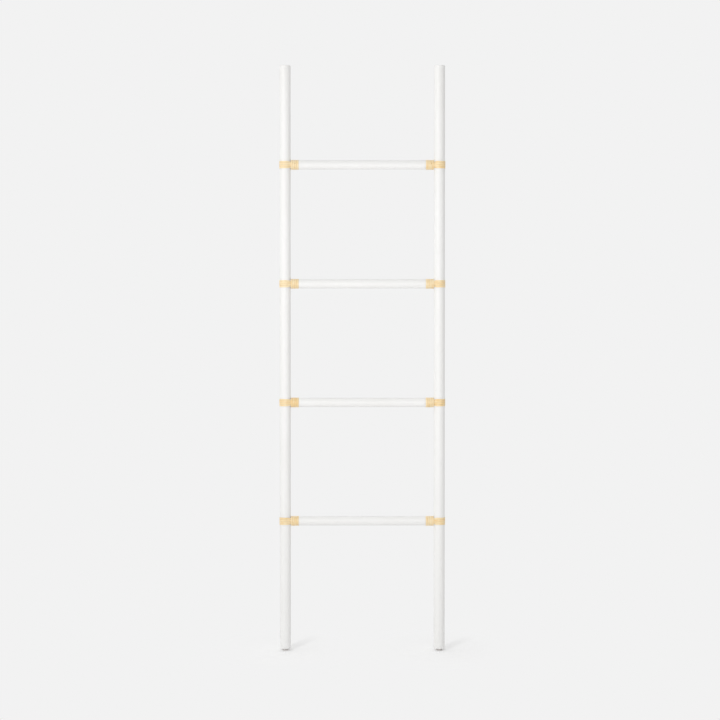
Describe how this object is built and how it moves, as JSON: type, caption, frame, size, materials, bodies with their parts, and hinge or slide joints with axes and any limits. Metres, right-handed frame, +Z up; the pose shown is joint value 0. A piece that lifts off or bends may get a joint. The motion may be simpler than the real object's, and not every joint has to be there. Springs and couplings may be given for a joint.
{
  "type": "leaning towel rack",
  "caption": "Ladder-shaped towel rack that leans on a wall: round white rails and rungs, flat natural cane bound over each joint, grey pads under the rails.",
  "frame": {"origin": "on the floor at the middle of the rack's width and depth as it leans, the bottom centre of its overall box", "axes": "+X along the rungs to the right seen from the front, +Y back towards the wall it leans on, +Z up"},
  "size_m": [0.4824, 0.267, 1.6854],
  "materials": {
    "white_paint": "round wooden pole, white satin paint",
    "cane": "flat natural cane strip, light satin",
    "foot_rubber": "matte grey rubber"
  },
  "bodies": {
    "root": {"left_rail": "white_paint", "right_rail": "white_paint", "rung_1": "white_paint", "rung_1_straps": "cane", "rung_1_windings": "cane", "rung_2": "white_paint", "rung_2_straps": "cane", "rung_2_windings": "cane", "rung_3": "white_paint", "rung_3_straps": "cane", "rung_3_windings": "cane", "rung_4": "white_paint", "rung_4_straps": "cane", "rung_4_windings": "cane", "left_foot_pad": "foot_rubber", "right_foot_pad": "foot_rubber"}
  },
  "joints": []
}
